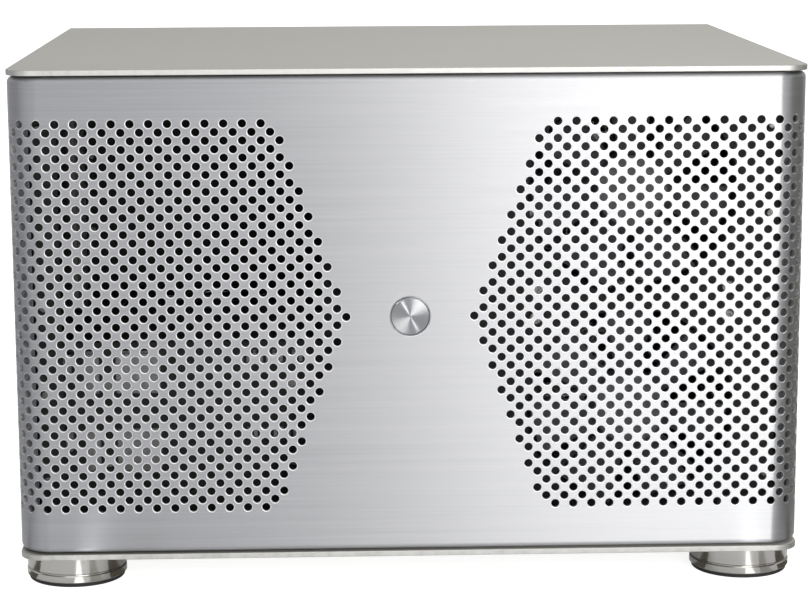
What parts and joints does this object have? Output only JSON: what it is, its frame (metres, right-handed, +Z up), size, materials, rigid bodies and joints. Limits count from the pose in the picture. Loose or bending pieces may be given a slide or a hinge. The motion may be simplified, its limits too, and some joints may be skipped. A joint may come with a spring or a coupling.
{
  "type": "desktop computer",
  "caption": "Wide cube desktop computer: brushed aluminium skins with a perforated front, round push button and polished feet over a full frame, board, cooler, fans, supply and drives.",
  "frame": {"origin": "on the floor under the middle of the case's outline", "axes": "+X to the right of someone facing the front, +Y to the back, +Z up; the front faces -Y"},
  "size_m": [0.42, 0.34, 0.278],
  "materials": {
    "brushed_skin": "long horizontal brushing, anodised, satin",
    "brushed_plate": "long brushing, anodised, satin",
    "turned_button": "turned face, satin",
    "polished_foot": "turned and polished",
    "black_rubber": "plain",
    "black_sheet": "fine matt paint",
    "fastener_steel": "zinc plated",
    "stud_steel": "bright turned",
    "clip_plastic": "moulded",
    "black_plastic": "moulded",
    "rocker_plastic": "glossy moulded",
    "spring_wire": "drawn wire",
    "fan_plastic": "moulded",
    "rotor_plastic": "moulded",
    "guard_wire": "plated wire",
    "board_laminate": "solder resist over copper tracks",
    "inner_laminate": "plain laminate and wound parts",
    "brass_standoff": "turned",
    "plated_cover": "plated",
    "socket_plastic": "moulded",
    "module_spreader": "anodised heat spreader over a laminate card",
    "cooler_copper": "plain drawn copper",
    "fin_metal": "thin rolled sheet",
    "supply_sheet": "fine powder coat",
    "drive_metal": "cast body and pressed lid"
  },
  "bodies": {
    "case": {"base_plate": "brushed_plate", "foot_bodies": "polished_foot", "foot_pads": "black_rubber", "foot_screws": "fastener_steel", "chassis_floor": "black_sheet", "front_bulkhead": "black_sheet", "rear_wall": "black_sheet", "board_tray": "black_sheet", "frame_posts": "black_sheet", "frame_rivets": "fastener_steel", "top_rails": "black_sheet", "snap_clips": "clip_plastic", "front_fan_frames": "fan_plastic", "rear_fan_frame": "fan_plastic", "fan_guards": "guard_wire", "fan_screws": "fastener_steel", "motherboard": "board_laminate", "board_standoffs": "brass_standoff", "machine_screws": "fastener_steel", "processor_socket": "plated_cover", "cooler_base": "cooler_copper", "heat_pipes": "cooler_copper", "cooler_fins": "fin_metal", "cooler_fan_frame": "fan_plastic", "memory_sockets": "socket_plastic", "memory_modules": "module_spreader", "expansion_sockets": "socket_plastic", "board_connectors": "socket_plastic", "board_heatsinks": "fin_metal", "rear_ports": "plated_cover", "network_port": "plated_cover", "port_shield": "plated_cover", "slot_covers": "plated_cover", "slot_thumbscrews": "fastener_steel", "psu_case": "supply_sheet", "psu_cover": "supply_sheet", "psu_board": "inner_laminate", "psu_fan_frame": "fan_plastic", "mains_inlet": "black_plastic", "switch_frame": "black_plastic", "drive_cage": "black_sheet", "hard_drives": "drive_metal"},
    "front_skin": {"front_panel": "brushed_skin", "front_panel_studs": "stud_steel", "button_housing": "black_plastic", "button_spring": "spring_wire", "power_switch": "black_plastic"},
    "button": {"power_button": "turned_button"},
    "left_skin": {"left_side_panel": "brushed_skin", "left_panel_studs": "stud_steel"},
    "right_skin": {"right_side_panel": "brushed_skin", "right_panel_studs": "stud_steel"},
    "top_skin": {"top_cover": "brushed_plate", "top_cover_studs": "stud_steel"},
    "lower_front_rotor": {"lower_front_fan_rotor": "rotor_plastic"},
    "upper_front_rotor": {"upper_front_fan_rotor": "rotor_plastic"},
    "rear_rotor": {"rear_fan_rotor": "rotor_plastic"},
    "cooler_rotor": {"cooler_fan_rotor": "rotor_plastic"},
    "psu_rotor": {"psu_fan_rotor": "rotor_plastic"},
    "rocker": {"mains_rocker": "rocker_plastic"}
  },
  "joints": [
    {"name": "front_panel_pull", "type": "slide", "parent": "case", "child": "front_skin", "axis": [0, -1, 0], "range_m": [0, 0.08]},
    {"name": "left_panel_pull", "type": "slide", "parent": "case", "child": "left_skin", "axis": [-1, 0, 0], "range_m": [0, 0.12]},
    {"name": "right_panel_pull", "type": "slide", "parent": "case", "child": "right_skin", "axis": [1, 0, 0], "range_m": [0, 0.12]},
    {"name": "top_cover_lift", "type": "slide", "parent": "case", "child": "top_skin", "axis": [0, 0, 1], "range_m": [0, 0.12]},
    {"name": "power_button_press", "type": "slide", "parent": "front_skin", "child": "button", "axis": [0, 1, 0], "range_m": [0, 0.0018], "stiffness_N_per_m": 1000, "springref_m": -0.001, "deforming": ["button_spring"]},
    {"name": "lower_front_fan_spin", "type": "hinge", "parent": "case", "child": "lower_front_rotor", "pos_m": [0.122, -0.1205, 0.0865], "axis": [0, 1, 0], "continuous": true},
    {"name": "upper_front_fan_spin", "type": "hinge", "parent": "case", "child": "upper_front_rotor", "pos_m": [0.122, -0.1205, 0.2075], "axis": [0, 1, 0], "continuous": true},
    {"name": "rear_fan_spin", "type": "hinge", "parent": "case", "child": "rear_rotor", "pos_m": [0.08, 0.142, 0.192], "axis": [0, 1, 0], "continuous": true},
    {"name": "cooler_fan_spin", "type": "hinge", "parent": "case", "child": "cooler_rotor", "pos_m": [0.1064, 0.047, 0.187], "axis": [0, 1, 0], "continuous": true},
    {"name": "psu_fan_spin", "type": "hinge", "parent": "case", "child": "psu_rotor", "pos_m": [-0.115, 0.085, 0.095], "axis": [0, 0, -1], "continuous": true},
    {"name": "mains_rocker_tip", "type": "hinge", "parent": "case", "child": "rocker", "pos_m": [-0.098, 0.1524, 0.06], "axis": [1, 0, 0], "range_deg": [-18, 0]}
  ]
}
